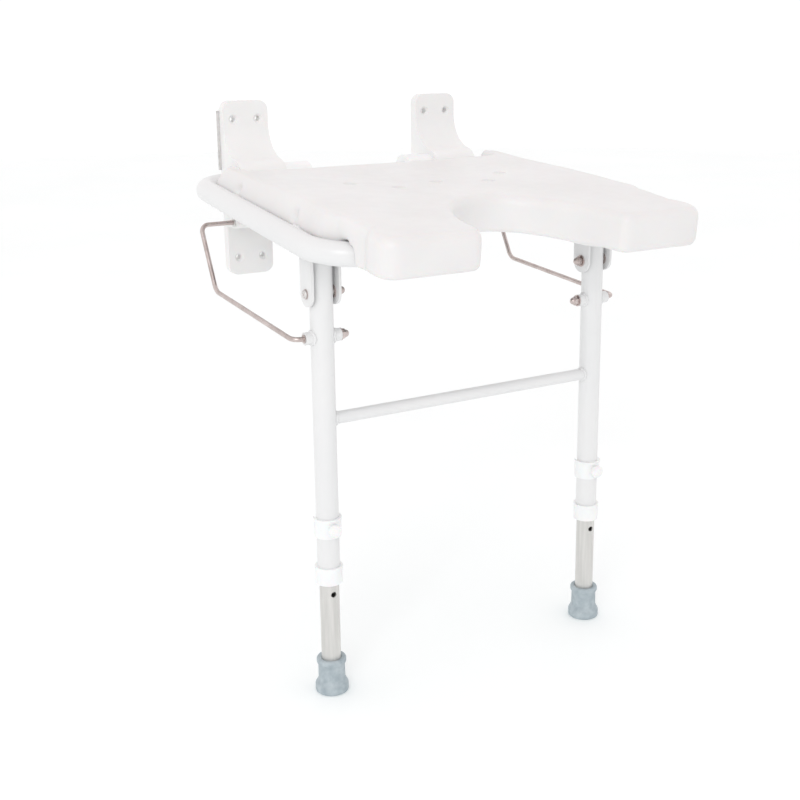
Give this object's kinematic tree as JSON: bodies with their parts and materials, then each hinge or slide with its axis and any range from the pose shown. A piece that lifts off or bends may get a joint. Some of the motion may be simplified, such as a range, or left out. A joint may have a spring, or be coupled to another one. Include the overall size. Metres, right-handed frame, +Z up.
{
  "type": "wall-mounted fold-up shower seat",
  "caption": "White fold-up horseshoe shower seat on two wall brackets, with front legs that fold on link rods and adjust in height.",
  "frame": {"origin": "on the wall plane, at the centre of the eight wall screw holes", "axes": "+X along the wall to the right as seen from the front, +Y into the wall, +Z up; the rest pose has the seat down and the feet on the floor at z = -0.544"},
  "size_m": [0.4574, 0.4735, 0.653],
  "materials": {
    "bracket_white": "moulded white plastic, glossy",
    "white_enamel": "white powder coat, glossy",
    "white_nylon": "moulded white nylon",
    "seat_foam": "white integral-skin foam, smooth and slightly soft",
    "zinc_steel": "zinc plated, dull",
    "bright_steel": "drawn stainless rod and fasteners",
    "grey_alloy": "satin anodised",
    "grey_rubber": "matte moulded rubber",
    "board": "plain stiffening board"
  },
  "bodies": {
    "wall_mount": {"left_wall_bracket": "bracket_white", "right_wall_bracket": "bracket_white", "left_back_plate": "zinc_steel", "right_back_plate": "zinc_steel", "left_hinge_bush": "white_nylon", "right_hinge_bush": "white_nylon", "left_rod_eye": "zinc_steel", "right_rod_eye": "zinc_steel"},
    "seat": {"seat_frame": "white_enamel", "front_cross_tube": "white_enamel", "frame_end_plugs": "white_nylon", "pad_tabs": "white_enamel", "pad_screws": "zinc_steel", "seat_board": "board", "seat_pad": "seat_foam", "left_leg_clevis": "white_enamel", "right_leg_clevis": "white_enamel", "left_pivot_bolt": "bright_steel", "right_pivot_bolt": "bright_steel", "left_pivot_nut": "bright_steel", "right_pivot_nut": "bright_steel"},
    "leg_frame": {"left_outer_leg": "white_enamel", "right_outer_leg": "white_enamel", "leg_top_plugs": "white_nylon", "leg_crossbar": "white_enamel", "left_pivot_sleeve": "zinc_steel", "right_pivot_sleeve": "zinc_steel", "left_link_bush": "white_enamel", "right_link_bush": "white_enamel", "left_lower_collar": "white_nylon", "right_lower_collar": "white_nylon"},
    "left_link": {"left_link_rod": "bright_steel", "left_rod_nut": "bright_steel", "left_rod_clip": "zinc_steel"},
    "left_inner_leg": {"left_inner_leg": "grey_alloy", "left_foot": "grey_rubber"},
    "left_clip": {"left_pin_collar": "white_nylon", "left_height_pin": "white_nylon"},
    "right_link": {"right_link_rod": "bright_steel", "right_rod_nut": "bright_steel", "right_rod_clip": "zinc_steel"},
    "right_inner_leg": {"right_inner_leg": "grey_alloy", "right_foot": "grey_rubber"},
    "right_clip": {"right_pin_collar": "white_nylon", "right_height_pin": "white_nylon"}
  },
  "joints": [
    {"name": "seat_fold", "type": "hinge", "parent": "wall_mount", "child": "seat", "pos_m": [0, -0.044, 0.011], "axis": [-1, 0, 0], "range_deg": [0, 80]},
    {"name": "leg_fold", "type": "hinge", "parent": "seat", "child": "leg_frame", "pos_m": [0, -0.307, -0.079], "axis": [-1, 0, 0], "range_deg": [-80, 0]},
    {"name": "left_link_swing", "type": "hinge", "parent": "wall_mount", "child": "left_link", "pos_m": [-0.1625, -0.044, -0.037], "axis": [-1, 0, 0], "range_deg": [0, 80]},
    {"name": "right_link_swing", "type": "hinge", "parent": "wall_mount", "child": "right_link", "pos_m": [0.1625, -0.044, -0.037], "axis": [-1, 0, 0], "range_deg": [0, 80]},
    {"name": "left_leg_height", "type": "slide", "parent": "leg_frame", "child": "left_inner_leg", "axis": [0, 0, 1], "range_m": [-0.0795, 0.0795]},
    {"name": "left_clip_pull", "type": "slide", "parent": "leg_frame", "child": "left_clip", "axis": [0, -1, 0], "range_m": [0, 0.03]},
    {"name": "right_leg_height", "type": "slide", "parent": "leg_frame", "child": "right_inner_leg", "axis": [0, 0, 1], "range_m": [-0.0795, 0.0795]},
    {"name": "right_clip_pull", "type": "slide", "parent": "leg_frame", "child": "right_clip", "axis": [0, -1, 0], "range_m": [0, 0.03]}
  ],
  "couplings": [
    {"joint": "leg_fold", "follows": "seat_fold", "ratio": -1},
    {"joint": "left_link_swing", "follows": "seat_fold", "ratio": 1},
    {"joint": "right_link_swing", "follows": "seat_fold", "ratio": 1}
  ]
}
